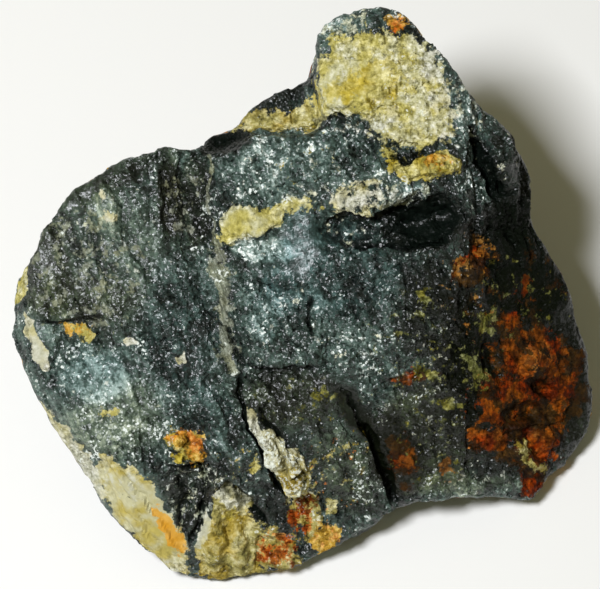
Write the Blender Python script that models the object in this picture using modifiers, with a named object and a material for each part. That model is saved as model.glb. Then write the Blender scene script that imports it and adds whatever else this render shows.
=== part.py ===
# A palm-sized piece of rough black tourmaline: one lump of rock, broken on every side,
# with pale matrix left on the peak, the front and the lower left side.
#
# The broad broken face is drawn in its own plane: x runs to the right, y runs up the
# face, and heights are measured square to it. That plane then leans back by LEAN, so
# the front edge comes close to the resting plane and the peak stands high at the back.
# What is drawn is the view from EYE_DISTANCE straight above the face, in which lower
# points look nearer the middle, so they are moved out again when the rock is built.
# All lists of points, heights and widths below are in millimetres.
import math

import bmesh
import bpy
import numpy as np
from mathutils import Vector, noise

NAME = "tourmaline_rock"
MM = 0.001

# Driving dimensions
LEAN = math.radians(25)  # the broad face leans this far towards the front
FACE_HEIGHT = 32.5  # the face's own origin stands this far above the resting plane
EYE_DISTANCE = 750.0
UNDERCUT = {"left": 0.30, "right": 0.22, "front": 0.75, "back": 0.02}  # drawn in per mm down
BASE_CENTRE = (1.0, 4.0)  # what the sides draw in towards
HALF_SPAN = 40.0  # the sides draw in in full this far from it
BASE_DEPTH = 4.0  # how far the sides run on below the resting plane before it cuts them
CREASE = 0.35  # rounding where two facets meet
LEDGE_TAPER = 0.12  # the share of its line over which a tapered ledge dies out at each end
GROOVE_TAPER = (0.20, 0.08)  # the same for a groove, at its first and its last end
GROOVE_POINT = 1.3  # over 1 makes a groove's bottom sharper than its edges

# How fine the working meshes are, and what is left at the end. They wear the rim down a
# little, so it starts larger by RIM_ALLOWANCE.
RIM_ALLOWANCE = 1.007
SLAB_THICKNESS = 40.0
SLAB_VOXEL = 1.0
ROCK_VOXEL = 0.75
TRIANGLES = 9500

# The rim of the broad face, clockwise from the foot of the peak
OUTLINE = [
    (1.9, 32.2), (2.2, 35.3), (1.8, 37.6), (2.4, 39.4), (3.9, 40.9), (7.9, 42.5),
    (12.2, 43.2), (15.3, 42.2), (17.7, 38.9), (19.2, 37.7), (21.9, 34.4), (23.8, 32.0),
    (25.9, 29.2), (29.5, 25.7), (32.1, 22.0), (34.5, 17.8), (34.0, 14.0), (34.6, 12.2),
    (34.2, 9.8), (38.2, 4.9), (40.2, -0.1), (41.5, -3.4), (42.6, -7.9), (43.6, -14.6),
    (43.3, -17.6), (42.4, -21.7), (41.0, -23.9), (38.6, -26.8), (37.2, -27.1),
    (34.6, -30.7), (32.7, -31.2), (29.1, -30.5), (22.8, -30.8), (17.2, -30.8),
    (15.1, -32.2), (13.9, -31.1), (12.4, -33.2), (11.5, -34.3), (6.1, -37.2),
    (0.8, -40.1), (-0.6, -41.3), (-5.0, -41.8), (-12.8, -43.0), (-17.4, -43.4),
    (-20.2, -41.5), (-25.9, -36.4), (-30.4, -31.0), (-31.6, -28.4), (-36.1, -22.1),
    (-38.5, -19.1), (-39.9, -16.0), (-41.1, -13.7), (-43.0, -7.4), (-43.0, -2.0),
    (-43.2, 0.4), (-42.6, 3.4), (-39.9, 7.1), (-39.9, 8.8), (-38.2, 11.2), (-37.4, 11.6),
    (-36.3, 14.2), (-34.0, 16.4), (-30.9, 17.3), (-28.1, 19.6), (-21.0, 22.4),
    (-19.3, 22.4), (-18.3, 21.7), (-14.1, 23.2), (-13.4, 24.5), (-10.5, 24.2),
    (-7.5, 27.5), (-5.4, 30.1), (-2.7, 31.0), (0.4, 31.9),
]

# The flat breaks that make the face: a point on each, its height there, and its slope.
# The lowest one wins, so together they make a convex block.
FACETS = {
    "broad face": ((0.0, 0.0), 0.0, (0.02, 0.03)),
    "left lobe": ((-27.5, -1.0), -0.5, (0.12, 0.0)),
    "rusty flank": ((21.6, -1.0), -0.3, (-0.76, 0.22)),
    "upper flank": ((23.8, 25.9), 1.0, (-1.0, -0.1)),
    "lower face": ((-0.5, -16.0), -0.5, (-0.25, 0.45)),
    "front": ((-11.0, -31.0), -4.6, (0.0, 0.7)),
    "pale side": ((-23.6, -31.1), -1.5, (1.04, 0.94)),
    "left edge": ((-40.6, -4.1), -2.1, (1.8, 0.0)),
    "lower left edge": ((-34.2, -22.1), -1.3, (1.3, 0.95)),
    "top left edge": ((-27.5, 18.4), -0.8, (0.3, -0.52)),
    "peak top": ((7.0, 40.1), 1.5, (0.1, -0.7)),
}

# Steps in the face. Walking along the line, it drops by "drop" on the right-hand side,
# over a cliff "edge" wide, and climbs back over the length "run". A step dies out
# towards both ends of its line, unless it isn't tapered.
LEDGES = {
    "brow": dict(
        line=[(3.4, 12.7), (5.5, 10.9), (9.3, 11.2), (14.5, 13.0), (18.8, 15.1),
              (22.3, 13.9), (25.1, 10.6)],
        drop=3.6, edge=0.9, run=6.0),
    "foot of the peak": dict(
        line=[(1.3, 24.2), (2.7, 26.6), (6.3, 27.2), (9.3, 25.1), (12.8, 20.2)],
        drop=1.7, edge=0.8, run=7.0),
    "slab": dict(
        line=[(-8.5, -9.8), (-4.2, -11.2), (-0.4, -10.7), (3.3, -8.9), (6.3, -7.9)],
        drop=1.5, edge=0.7, run=8.0),
    "vein": dict(
        line=[(-14.5, 21.7), (-13.8, 15.4), (-13.0, 9.4), (-12.6, 3.4), (-12.2, -2.6),
              (-11.1, -10.4)],
        drop=1.3, edge=0.7, run=6.0),
    "front lip": dict(
        line=[(-13.7, -29.5), (-10.2, -29.2), (-7.5, -30.8), (-7.8, -32.9), (-6.0, -35.9),
              (-1.6, -38.0), (-0.4, -40.1)],
        drop=2.4, edge=0.8, run=9.0),
    "back edge": dict(
        line=[(1.9, 29.5), (2.5, 27.1), (2.1, 24.7), (-0.4, 23.8), (-8.7, 23.3),
              (-10.2, 21.4), (-14.4, 20.9), (-15.8, 22.0)],
        drop=7.0, edge=1.2, run=60.0, tapered=False),
}

# Cracks and hollows: a line, the half width across it and the depth at its middle
GROOVES = {
    "lobe hollow": dict(
        line=[(-17.7, 22.0), (-17.8, 16.9), (-17.2, 10.1), (-16.3, 3.7)], half=3.2, depth=2.0),
    "right crack": dict(
        line=[(4.6, -13.1), (7.0, -16.4), (9.4, -20.3), (11.2, -23.6), (12.8, -26.9),
              (13.8, -33.0)], half=1.5, depth=4.0),
    "left crack": dict(
        line=[(-9.9, -12.8), (-9.0, -17.6), (-7.6, -20.9), (-5.7, -24.7), (-3.8, -27.7),
              (-1.6, -30.8), (-0.4, -34.4)], half=1.3, depth=3.4),
    "gash": dict(
        line=[(25.5, 24.4), (25.9, 19.9), (27.1, 16.6), (29.4, 14.0)], half=1.6, depth=4.2),
    "flank valley": dict(
        line=[(36.5, 10.2), (34.6, 9.8), (31.0, 8.9), (27.4, 8.9), (24.1, 7.6)],
        half=3.0, depth=3.0),
    "hollow over the pale patch": dict(
        line=[(12.4, 21.7), (14.5, 19.9), (17.6, 21.1), (20.8, 21.8)], half=1.2, depth=1.6),
    "front notch": dict(
        line=[(-21.0, -30.0), (-18.5, -31.5), (-16.5, -31.5)], half=1.6, depth=1.4),
}

# Swellings: middle, half length, half width, turn in degrees and height
LUMPS = {
    "brow": dict(at=(10.8, 14.6), size=(6.5, 2.6), turn=10, height=1.5),
    "pale inclusion": dict(at=(-3.0, -25.6), size=(5.4, 2.0), turn=-62, height=2.0),
    "cheek by the gash": dict(at=(29.2, 20.0), size=(4.6, 1.9), turn=-70, height=2.2),
    "yellow patch": dict(at=(-7.7, 10.5), size=(4.4, 2.2), turn=12, height=0.7),
    "front matrix": dict(at=(-11.5, -37.5), size=(6.0, 4.4), turn=0, height=1.2),
    "nodule": dict(at=(-18.0, -23.3), size=(3.2, 2.8), turn=0, height=0.7),
    "pale patch": dict(at=(18.3, 18.6), size=(5.2, 1.6), turn=16, height=0.7),
    "lower slab": dict(at=(3.6, -24.0), size=(7.5, 4.2), turn=-62, height=0.8),
}

# Big breaks on the sides and the back: the way each one faces (0 is the front, 90 the
# right), its slope under the rim in degrees and a point that it goes through
BREAKS = {
    "left": (272, 16, (-43.5, 0.0, 22.0)),
    "lower left": (304, 28, (-35.5, -21.5, 13.0)),
    "left back": (214, 12, (-25.0, 18.5, 33.0)),
    "peak back": (172, 8, (9.0, 40.2, 40.0)),
    "peak side": (128, 14, (33.0, 25.0, 33.0)),
    "under the peak": (158, 42, (12.0, 30.0, 12.0)),
    "under the left": (278, 48, (-31.0, 0.0, 4.0)),
    "under the left back": (226, 40, (-22.0, 10.0, 6.0)),
    "under the right": (104, 46, (40.0, 10.0, 2.0)),
    "under the front left": (318, 52, (-24.0, -28.0, 2.0)),
}

# The crystals' long direction: down the face and a little to the right
COLUMNS = Vector((0.4, -0.92 * math.cos(LEAN), -0.92 * math.sin(LEAN))).normalized()

# Roughness: size of the grain, then how far it stands out on the face and on the sides.
# The sides reach their full roughness SIDES_BELOW under the rim.
SIDES_BELOW = 9.0
SWELLS = [(10.0, 0.35, 1.1), (4.0, 0.22, 0.45)]
CHIPS = [(10.0, 0.45, 1.9), (4.2, 0.35, 0.7)]
COLUMN_STRETCH = 2.6  # the breaks are this much longer along the crystals than across
CHIP_TILT = 1.6  # how steeply a break leans, next to how far it steps in or out
NOISE_SEED = 2  # another number leans the breaks in other directions


def fresh_collection(name):
    """Clear the scene and return an empty collection for the rock."""
    for leftover in list(bpy.data.objects):
        bpy.data.objects.remove(leftover, do_unlink=True)
    collection = bpy.data.collections.new(name)
    bpy.context.scene.collection.children.link(collection)
    return collection


def evaluated_mesh(obj):
    """The object's mesh with its modifiers applied, as a new mesh."""
    graph = bpy.context.evaluated_depsgraph_get()
    return bpy.data.meshes.new_from_object(obj.evaluated_get(graph))


def with_modifier(mesh, collection, kind, **settings):
    """The mesh after one modifier."""
    carrier = bpy.data.objects.new("carrier", mesh)
    collection.objects.link(carrier)
    modifier = carrier.modifiers.new(kind.lower(), kind)
    for key, value in settings.items():
        setattr(modifier, key, value)
    result = evaluated_mesh(carrier)
    bpy.data.objects.remove(carrier)
    return result


def points_of(mesh):
    """The mesh's vertices in millimetres."""
    flat = np.empty(len(mesh.vertices) * 3)
    mesh.vertices.foreach_get("co", flat)
    return flat.reshape(-1, 3) / MM


def set_points(mesh, points):
    mesh.vertices.foreach_set("co", (points * MM).ravel())
    mesh.update()


def outline_slab(collection):
    """The outline as a thick slab, with evenly spread vertices."""
    curve = bpy.data.curves.new("outline", "CURVE")
    curve.dimensions = "2D"
    curve.fill_mode = "BOTH"
    curve.extrude = SLAB_THICKNESS / 2 * MM
    spline = curve.splines.new("POLY")
    spline.points.add(len(OUTLINE) - 1)
    for point, (x, y) in zip(spline.points, OUTLINE):
        point.co = (x * RIM_ALLOWANCE * MM, y * RIM_ALLOWANCE * MM, 0.0, 1.0)
    spline.use_cyclic_u = True
    guide = bpy.data.objects.new("outline", curve)
    collection.objects.link(guide)
    slab = evaluated_mesh(guide)
    bpy.data.objects.remove(guide)
    editable = bmesh.new()
    editable.from_mesh(slab)
    bmesh.ops.remove_doubles(editable, verts=editable.verts, dist=0.01 * MM)
    editable.to_mesh(slab)
    editable.free()
    return with_modifier(slab, collection, "REMESH", mode="VOXEL", voxel_size=SLAB_VOXEL * MM)


def smoothstep(low, high, value):
    t = np.clip((value - low) / (high - low), 0.0, 1.0)
    return t * t * (3.0 - 2.0 * t)


def near_line(xy, line):
    """Distance to a polyline, signed (positive on its right), and how far along it, 0 to 1."""
    line = np.array(line)
    starts, steps = line[:-1], np.diff(line, axis=0)
    lengths = np.hypot(*steps.T)
    offset = xy[:, None, :] - starts
    share = np.clip((offset * steps).sum(2) / lengths**2, 0.0, 1.0)
    gap = offset - share[:, :, None] * steps
    distance = np.hypot(gap[..., 0], gap[..., 1])
    nearest = distance.argmin(1)
    rows = np.arange(len(xy))
    step, away = steps[nearest], offset[rows, nearest]
    side = np.sign(away[:, 0] * step[:, 1] - away[:, 1] * step[:, 0])
    passed = np.concatenate([[0.0], np.cumsum(lengths)])[nearest]
    along = (passed + share[rows, nearest] * lengths[nearest]) / lengths.sum()
    return distance[rows, nearest] * side, along


def facet_height(xy):
    """The lowest facet at each point, with the creases rounded a little."""
    layers = [
        height + slope[0] * (xy[:, 0] - at[0]) + slope[1] * (xy[:, 1] - at[1])
        for at, height, slope in FACETS.values()
    ]
    layers = np.array(layers)
    lowest = layers.min(0)
    return lowest - CREASE * np.log(np.exp((lowest - layers) / CREASE).sum(0))


def ledge_drop(xy, line, drop, edge, run, tapered=True):
    gap, along = near_line(xy, line)
    ends = smoothstep(0.0, LEDGE_TAPER, np.minimum(along, 1.0 - along)) if tapered else 1.0
    return drop * ends * smoothstep(-edge / 2, edge / 2, gap) * (1.0 - smoothstep(edge, run, gap))


def groove_depth(xy, line, half, depth):
    gap, along = near_line(xy, line)
    ends = smoothstep(0.0, GROOVE_TAPER[0], along) * smoothstep(0.0, GROOVE_TAPER[1], 1.0 - along)
    return depth * ends * np.clip(1.0 - np.abs(gap) / half, 0.0, 1.0) ** GROOVE_POINT


def lump_height(xy, at, size, turn, height):
    turn = math.radians(turn)
    away = xy - np.array(at)
    along = away[:, 0] * math.cos(turn) + away[:, 1] * math.sin(turn)
    across = away[:, 1] * math.cos(turn) - away[:, 0] * math.sin(turn)
    inside = 1.0 - (along / size[0]) ** 2 - (across / size[1]) ** 2
    return height * np.sqrt(np.clip(inside, 0.0, 1.0))


def face_height(xy):
    """Height of the broken face over each point of its plane."""
    height = facet_height(xy)
    for ledge in LEDGES.values():
        height -= ledge_drop(xy, **ledge)
    for groove in GROOVES.values():
        height -= groove_depth(xy, **groove)
    for lump in LUMPS.values():
        height += lump_height(xy, **lump)
    return height


def leaned(points):
    """From the drawn face to the frame that stands on the resting plane."""
    height = points[:, 2]
    nearness = 1.0 - height / EYE_DISTANCE
    x, y = points[:, 0] * nearness, points[:, 1] * nearness
    across = y * math.cos(LEAN) - height * math.sin(LEAN)
    up = FACE_HEIGHT + y * math.sin(LEAN) + height * math.cos(LEAN)
    return np.stack([x, across, up], axis=1)


def below_face(points):
    """How far each point of the standing rock lies under the broken face."""
    x, across, up = points.T
    rise = up - FACE_HEIGHT
    height = rise * math.cos(LEAN) - across * math.sin(LEAN)
    y = across * math.cos(LEAN) + rise * math.sin(LEAN)
    nearness = 1.0 - height / EYE_DISTANCE
    return face_height(np.stack([x / nearness, y / nearness], axis=1)) - height


def stand_up(slab):
    """Give the slab its broken face, and draw its sides in and down to the resting plane."""
    points = points_of(slab)
    depth = np.clip((SLAB_THICKNESS / 2 - points[:, 2]) / SLAB_THICKNESS, 0.0, 1.0)
    points[:, 2] = face_height(points[:, :2])
    points = leaned(points)
    fall = depth * (points[:, 2] + BASE_DEPTH)
    for axis, (near, far) in enumerate((("left", "right"), ("front", "back"))):
        reach = (points[:, axis] - BASE_CENTRE[axis]) / HALF_SPAN
        points[:, axis] -= np.where(reach < 0, UNDERCUT[near], UNDERCUT[far]) * reach * fall
    points[:, 2] -= fall
    under_rim = smoothstep(0.02, 0.22, depth)
    for facing, slope, through in BREAKS.values():
        facing, slope = math.radians(facing), math.radians(slope)
        outward = np.array([
            math.sin(facing) * math.cos(slope), -math.cos(facing) * math.cos(slope),
            -math.sin(slope)])
        beyond = np.clip((points - np.array(through)) @ outward, 0.0, None)
        points -= outward * (beyond * under_rim)[:, None]
    set_points(slab, points)
    return slab


def swell(point, size):
    """A soft bump or hollow, between about -1 and 1."""
    own_part_of_the_noise = Vector((3.1, 7.7, 1.3)) * size
    return noise.noise(point / size + own_part_of_the_noise)


def chip(point, size):
    """A small flat break with its own tilt, between about -1 and 1."""
    spot = (point - COLUMNS * (point.dot(COLUMNS) * (1.0 - 1.0 / COLUMN_STRETCH))) / size
    middle = noise.voronoi(spot)[1][0]
    tilt = noise.noise_vector(middle * 31.7)
    step = noise.noise(middle * 17.9)
    return CHIP_TILT * tilt.dot(spot - middle) + step


def roughened(mesh):
    """Break the surface up into bumps and chips, stronger on the sides than on the face."""
    points = points_of(mesh)
    on_side = smoothstep(1.0, SIDES_BELOW, below_face(points))
    settled = smoothstep(-BASE_DEPTH, 2.0, points[:, 2])
    moved = np.empty_like(points)
    for index, vertex in enumerate(mesh.vertices):
        point = Vector(points[index])
        away = 0.0
        for size, face, side in SWELLS:
            away += swell(point, size) * (face + (side - face) * on_side[index])
        for size, face, side in CHIPS:
            away += chip(point, size) * (face + (side - face) * on_side[index])
        moved[index] = point + vertex.normal * (away * settled[index])
    set_points(mesh, moved)
    return mesh


def loose_chips(editable):
    """Every vertex that isn't joined to the rock's body."""
    left = set(editable.verts)
    pieces = []
    while left:
        piece = {left.pop()}
        edge_of_piece = list(piece)
        while edge_of_piece:
            vertex = edge_of_piece.pop()
            fresh = {edge.other_vert(vertex) for edge in vertex.link_edges} - piece
            piece |= fresh
            edge_of_piece += fresh
        left -= piece
        pieces.append(piece)
    pieces.sort(key=len)
    return [vertex for piece in pieces[:-1] for vertex in piece]


def keep_above_base(mesh):
    """Cut the rock flat where it rests, and drop the chips that this sets loose."""
    editable = bmesh.new()
    editable.from_mesh(mesh)
    everything = editable.verts[:] + editable.edges[:] + editable.faces[:]
    bmesh.ops.bisect_plane(
        editable, geom=everything, dist=1e-6, plane_co=(0, 0, 0), plane_no=(0, 0, 1),
        clear_inner=True)
    bmesh.ops.delete(editable, geom=loose_chips(editable), context="VERTS")
    rim = [edge for edge in editable.edges if edge.is_boundary]
    bmesh.ops.contextual_create(editable, geom=rim)
    bmesh.ops.triangulate(editable, faces=editable.faces[:])
    bmesh.ops.recalc_face_normals(editable, faces=editable.faces[:])
    editable.to_mesh(mesh)
    editable.free()
    return mesh


def centred(mesh):
    """Put the origin under the middle of the rock's box."""
    points = points_of(mesh)
    middle = (points.min(0) + points.max(0)) / 2
    points[:, :2] -= middle[:2]
    set_points(mesh, points)
    return mesh


def thinned(mesh, collection):
    mesh.calc_loop_triangles()
    return with_modifier(
        mesh, collection, "DECIMATE", ratio=TRIANGLES / len(mesh.loop_triangles),
        use_collapse_triangulate=True)


def rock_material():
    material = bpy.data.materials.new("rough black tourmaline")
    material.use_nodes = True
    shader = material.node_tree.nodes["Principled BSDF"]
    shader.inputs["Base Color"].default_value = (0.085, 0.100, 0.088, 1.0)
    shader.inputs["Roughness"].default_value = 0.5
    shader.inputs["Metallic"].default_value = 0.0
    return material


def build():
    noise.seed_set(NOISE_SEED)
    collection = fresh_collection("rough black tourmaline")
    slab = outline_slab(collection)
    rock = stand_up(slab)
    rock = with_modifier(rock, collection, "REMESH", mode="VOXEL", voxel_size=ROCK_VOXEL * MM)
    rock = roughened(rock)
    rock = with_modifier(rock, collection, "REMESH", mode="VOXEL", voxel_size=ROCK_VOXEL * MM)
    rock = thinned(rock, collection)
    rock = keep_above_base(rock)
    rock = centred(rock)
    rock.name = NAME
    rock.materials.clear()
    rock.materials.append(rock_material())
    collection.objects.link(bpy.data.objects.new(NAME, rock))


build()
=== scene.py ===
import math
import bmesh
import bpy
import numpy as np
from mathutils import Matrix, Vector, noise


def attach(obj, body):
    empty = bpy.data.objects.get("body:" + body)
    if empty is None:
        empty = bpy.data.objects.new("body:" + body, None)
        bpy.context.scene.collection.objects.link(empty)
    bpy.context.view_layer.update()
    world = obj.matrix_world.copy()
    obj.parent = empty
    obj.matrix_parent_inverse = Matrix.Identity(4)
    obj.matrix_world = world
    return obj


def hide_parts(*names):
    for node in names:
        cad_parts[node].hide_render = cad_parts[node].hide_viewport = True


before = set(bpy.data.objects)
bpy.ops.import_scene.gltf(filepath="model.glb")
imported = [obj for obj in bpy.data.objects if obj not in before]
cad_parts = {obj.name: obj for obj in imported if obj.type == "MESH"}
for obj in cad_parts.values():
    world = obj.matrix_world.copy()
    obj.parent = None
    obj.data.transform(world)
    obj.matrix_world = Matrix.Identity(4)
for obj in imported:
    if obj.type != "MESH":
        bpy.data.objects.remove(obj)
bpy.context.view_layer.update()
noise.seed_set(1)

mm = 0.001

# How the broad face lies, as in the solid: it leans to the front, and everything on it
# is placed as it is seen from straight above it.
face = {
    "lean": math.radians(25),
    "origin": (-0.52, -3.71, 32.5),  # mm
    "eye": 750.0,  # mm from the face
    "pixel": 0.15,  # mm that one pixel of the photograph covers on the face
    "middle": (303.0, 292.5),  # the pixel that the face's origin falls on
}
faceUp = Vector((0, math.cos(face["lean"]), math.sin(face["lean"])))
faceOut = Vector((0, -math.sin(face["lean"]), math.cos(face["lean"])))
crystalAlong = (Vector((0.4, 0, 0)) - faceUp * 0.92).normalized()  # the crystals' long direction


def hexColour(text):
    # sRGB hex to the linear colour that Blender works in
    values = [int(text[i:i + 2], 16) / 255 for i in (1, 3, 5)]
    return tuple(v / 12.92 if v <= 0.04045 else ((v + 0.055) / 1.055) ** 2.4 for v in values) + (1,)


def smooth(low, high, value):
    t = np.clip((value - low) / (high - low), 0, 1)
    return t * t * (3 - 2 * t)


# The stone's surface

stone = {
    "grid": 0.72,  # mm between points on the sides; half of that on the face
    "fineFrom": 0.1,  # how far a place faces the front to get the finer grid
    # broken flakes: size across, how far they stand out on the bare rock, on the matrix
    "flakes": [(6.5, 0.55, 0.30), (3.1, 0.48, 0.32), (1.6, 0.34, 0.24), (0.8, 0.20, 0.14)],
    # soft lumps: the same
    "lumps": [(2.6, 0.20, 0.32), (1.3, 0.14, 0.28), (0.7, 0.10, 0.18)],
    "splinters": (1.0, 0.26, 9),  # mm across, how far they stand out, how much longer they are
    "lessOnMatrix": 0.5,  # how much of the splinters the matrix hides
    "stretch": 2.6,  # the flakes are this much longer along the crystals
    "tilt": 1.5,  # how steeply the flakes lean
    "plateSeeds": (31.7, 17.9),  # another pair gives other leans and heights
    # how far borders and cracks wander: size mm, way mm
    "wander": [(4.0, 0.9), (1.5, 0.5)],
    "wanderLayers": (3.3, 8.8),  # the slices of noise that move them right and up
    "rim": 0.45,  # how much of the roughness is left where the face turns away
    "streaks": 0.16,  # how much lighter a splinter is
    "reliefShade": 0.10,  # painted shade and light: how much lighter each mm that stands out is, and how much darker each mm that is sunk
    "reliefShadeMost": 1.5,  # mm
    "calmMost": 0.95,
    # how far a place faces the front, from none to all: to be marked as the picture shows,
    # and to have all of its roughness
    "facing": (-0.05, 0.25),
    "rimFrom": (0.1, 0.6),
    "sideFrom": (0.5, 1.0),  # how far it faces away to be stained as the sides are
    "sideEdge": 3.0,  # how sharply those stains end
    "matrixFrom": (0.3, 0.8),  # how much stain makes the surface softer
    "ovalEdge": (0.6, 1.3),  # where a soft oval starts to fade and where it ends, in half sizes
    "stepEnds": 0.2,  # over how much of its length a step starts and ends
    "stepEdge": 0.25,  # mm, half the width of its edge
    "cutEnds": 0.15,  # the same for a crack, and how much of it is there from the start
    "cutStart": 0.02,
    "darkReach": 1.3,  # the painted shade of a crack goes this much past its width
    "restingTo": 1.5,  # mm over the floor, below which the roughness fades
}

# What lies on the black: its dark, middle and light colour, the tint it takes in patches, the
# noises of its crumbs and its border, how much it covers and how rough it is. Weathered
# feldspar and mica matrix is cream to olive and crumbles, so it looks chalky. Iron oxide is
# ochre to rust and earthy. Each one lies over those before it.
stains = {
    "brown": ("#060502", "#30200a", "#5c3e14", "#f0bc80", "clods", "wide border", 0.86, 0.6),
    "vein": ("#3a3d33", "#888b76", "#d4d6c2", "#f4f1da", "fibres", "border", 0.60, 0.6),
    # This kind is no stain but painted glints: grey-white specks where the grains would catch the lamp.
    "paintedGlints": ("#39413a", "#a3ab98", "#f8faf2", "#fffae4", "crumbs", "other border", 0.90, 0.6),
    "cream": ("#5a562c", "#bfbb8c", "#f6f4e0", "#f1e8a6", "crumbs", "border", 0.97, 0.8),
    "pale": ("#7b7652", "#c3bf98", "#f3f1e0", "#efe09a", "fibres", "other border", 0.97, 0.75),
    "olive": ("#363312", "#aca25e", "#ece6b8", "#eeda94", "clods", "border", 0.95, 0.75),
    "film": ("#1c1d0b", "#686a36", "#cccc92", "#eee294", "crumbs", "border", 0.85, 0.75),
    "white": ("#71725c", "#c4c3ab", "#f4f3e8", "#f4ecc4", "crumbs", "other border", 0.90, 0.8),
    "yellow": ("#67602a", "#baaf60", "#f1e8aa", "#f1e286", "crumbs", "border", 0.90, 0.8),
    "ochre": ("#4e3a0c", "#c69a34", "#f6e08a", "#f6c070", "crumbs", "border", 0.92, 0.8),
    "amber": ("#8a5a18", "#dca43a", "#f8d88c", "#f8eab0", "crumbs", "other border", 0.92, 0.6),
    "orange": ("#3a1604", "#c4742c", "#f6c46c", "#f6b888", "crumbs", "other border", 0.92, 0.8),
    "rust": ("#100802", "#5c2e06", "#be6410", "#f2a858", "clods", "other border", 0.88, 0.7),
    "tan": ("#1a1006", "#64441c", "#b88c48", "#f4cc84", "crumbs", "other border", 0.85, 0.75),
}

# Where the bare rock is lighter or darker and warmer or cooler than elsewhere: middle and
# half size in pixels of the photograph, turn, lighter by, warmer by
# Several of the darker ones are painted shade, in hollows, cracks and on faces turned from the lamp;
# they are marked below.
areas = {
    "centre": ((330, 275), (75, 45), 0, 0.01, -0.8),
    "left of the centre": ((262, 300), (34, 44), 0, 0.06, -0.2),
    "upper face": ((275, 165), (70, 34), 0, 0.15, -0.1),
    "left lobe": ((110, 260), (80, 80), 0, 0.02, 0.30),
    "bright by the patch": ((262, 249), (34, 11), 0, 0.43, 0.0),
    "flecks under the patch": ((266, 312), (18, 32), 0, 0.16, -0.3),
    "slate": ((305, 238), (22, 36), -8, 0.10, -0.8),
    "speckled lobe": ((110, 208), (12, 26), 20, 0.24, 0.1),
    "lobe streaks": ((88, 215), (18, 22), 0, 0.10, 0.0),
    # painted shade: the lobe's rim, which faces away from the lamp, darker and warmer
    "lobe rim": ((120, 168), (80, 20), 28, -0.04, 0.5),
    # painted shade in the groove and beside the vein, with a warmer tint
    "lobe groove": ((170, 196), (14, 38), 0, -0.34, 1.0),
    "by the vein": ((197, 205), (14, 50), 0, -0.16, 0.7),
    "left rim": ((46, 262), (26, 56), 0, -0.04, 0.6),
    "lobe foot": ((85, 300), (50, 26), 0, 0.02, 0.5),
    "pale lobe": ((95, 375), (40, 28), 10, 0.35, -0.6),
    "low lobe": ((120, 420), (60, 40), 20, 0.23, 0.5),
    "middle left": ((180, 340), (38, 84), 0, -0.01, -0.6),
    "low slope": ((215, 430), (20, 50), 10, 0.02, -0.4),
    "slab": ((290, 400), (50, 30), 0, -0.08, 0.9),
    "low slab": ((345, 470), (28, 50), 25, 0.04, 0.7),
    # painted shade on the right crack's steep side
    "crack facet": ((354, 412), (12, 30), 32, -0.26, 0.6),
    # painted shade in the right crack's gap, with the brown of the stone beside it as a warmer tint
    "notch": ((394, 452), (26, 44), 24, -0.42, 1.3),
    "dark plate": ((272, 512), (26, 18), -20, -0.12, 0.1),
    "peak top": ((350, 24), (40, 16), 15, 0.10, -0.2),
    "under the peak": ((330, 135), (40, 16), 0, 0.04, -0.2),
    "peak side": ((466, 112), (22, 44), 20, 0.16, -0.2),
    # painted shade on the facet beside the gash, which slopes away from the lamp, and in the gash
    # itself
    "gash side": ((512, 180), (24, 56), 14, -0.26, 0.1),
    "gash bottom": ((488, 176), (8, 40), 14, -0.40, 0.0),
    # painted shade in the hollow under the brow
    "brow left": ((350, 230), (30, 15), 0, -0.10, -0.3),
    "brow right": ((426, 220), (38, 26), 8, -0.81, 0.0),
    "brow plate": ((410, 195), (16, 9), 10, 0.30, -0.5),
    # painted shade where the face turns away from the lamp
    "right of the centre": ((440, 325), (40, 55), 20, -0.28, 0.5),
    # painted shade under the brow
    "under the brow": ((440, 270), (50, 24), 0, -0.14, 0.0),
    # painted shade where the face turns down, with a warmer olive tint
    "low right": ((435, 430), (48, 50), 0, -0.12, 1.3),
    "right rim": ((450, 484), (70, 12), 0, 0.14, 0.6),
    # partly the flank's own dark stone, partly painted shade: the peak block's shadow on the flank top
    # and the slope turned from the lamp
    "flank top": ((530, 250), (60, 60), 30, -0.80, 0.5),
    "flank": ((520, 370), (75, 95), 0, -0.70, 0.9),
    "flank rim": ((586, 420), (16, 60), 5, -0.10, 0.6),
    # painted shade where the face falls away behind
    "back corner": ((226, 142), (24, 12), 10, -0.75, 0.0),
    "back ledge": ((285, 92), (30, 14), 25, -0.20, 0.0),
    # painted shade in the pit, with a warmer tint
    "front pit": ((194, 495), (26, 40), 0, -0.14, 0.5),
    "slope by the pit": ((225, 470), (16, 20), 0, -0.10, 0.4),
}
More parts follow.
